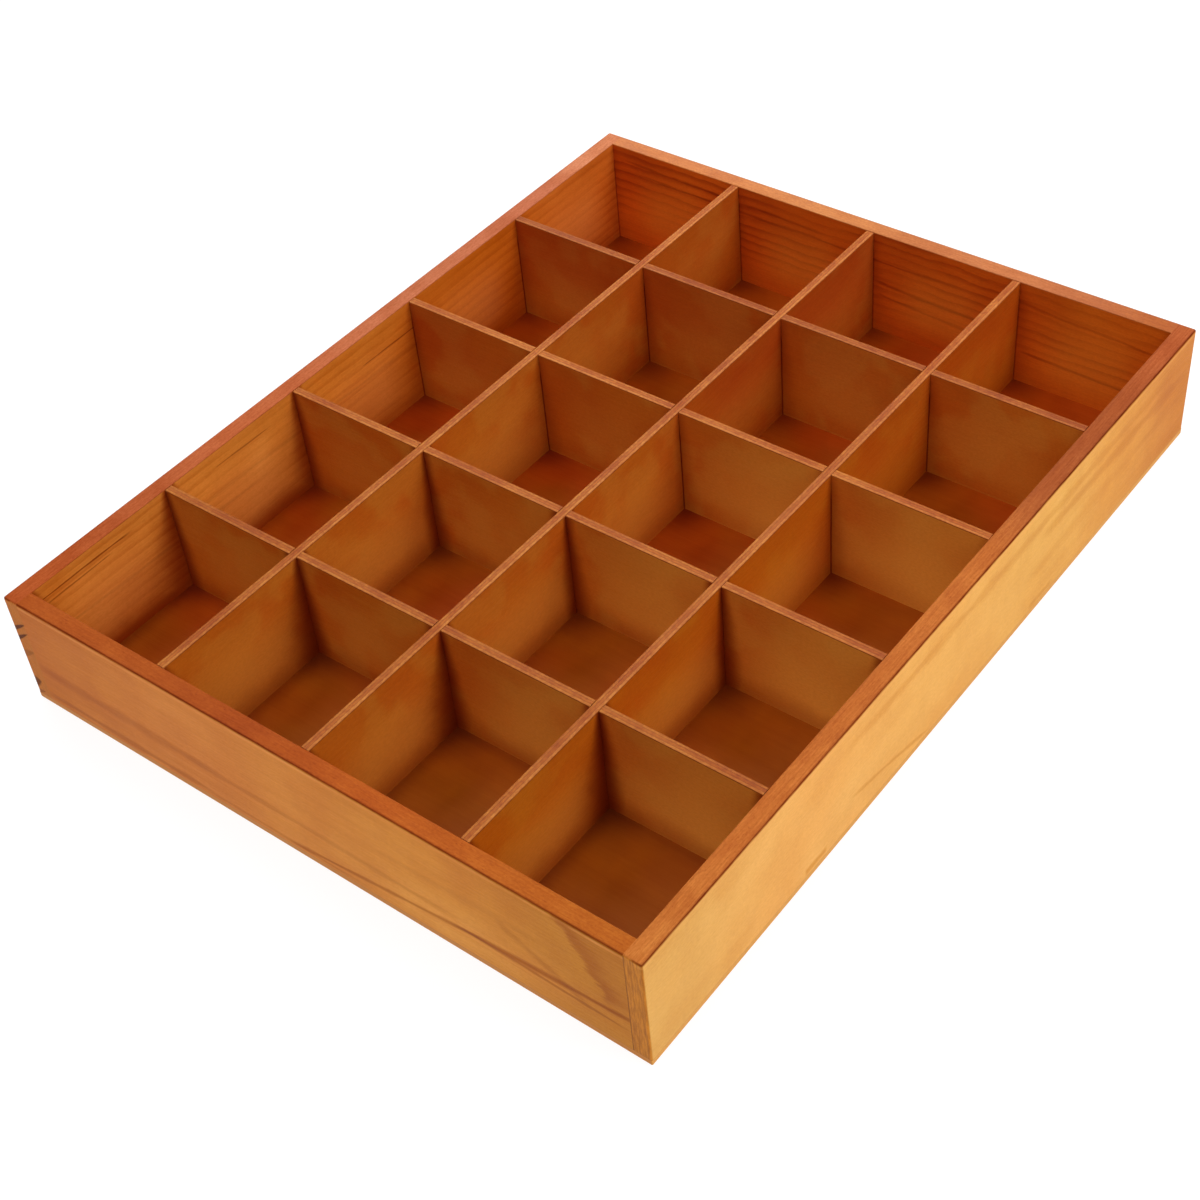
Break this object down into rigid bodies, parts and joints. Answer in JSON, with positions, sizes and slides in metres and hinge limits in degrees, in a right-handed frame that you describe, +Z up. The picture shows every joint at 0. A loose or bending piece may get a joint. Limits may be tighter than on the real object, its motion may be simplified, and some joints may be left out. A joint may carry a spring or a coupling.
{
  "type": "compartment tray",
  "caption": "Open wooden tray with a low butt-jointed frame, divided by a half-lapped plywood lattice into square compartments for sorting small craft supplies and parts.",
  "frame": {"origin": "centre of the underside of the bottom panel", "axes": "+Z up through the open top, +Y from the front board to the back board along the longer side, +X from left to right"},
  "size_m": [0.317, 0.4, 0.0575],
  "materials": {
    "stained_pine": "pine, reddish-brown stain, satin",
    "stained_plywood": "three-ply plywood, reddish-brown stain, satin",
    "stained_panel": "thin plywood panel, dark reddish-brown stain, satin",
    "steel_pins": "bright steel wire pins"
  },
  "bodies": {
    "root": {"front_board": "stained_pine", "back_board": "stained_pine", "left_board": "stained_pine", "right_board": "stained_pine", "bottom_panel": "stained_panel", "long_divider_1": "stained_plywood", "long_divider_2": "stained_plywood", "long_divider_3": "stained_plywood", "cross_divider_1": "stained_plywood", "cross_divider_2": "stained_plywood", "cross_divider_3": "stained_plywood", "cross_divider_4": "stained_plywood", "corner_pins": "steel_pins", "panel_pins": "steel_pins"}
  },
  "joints": []
}
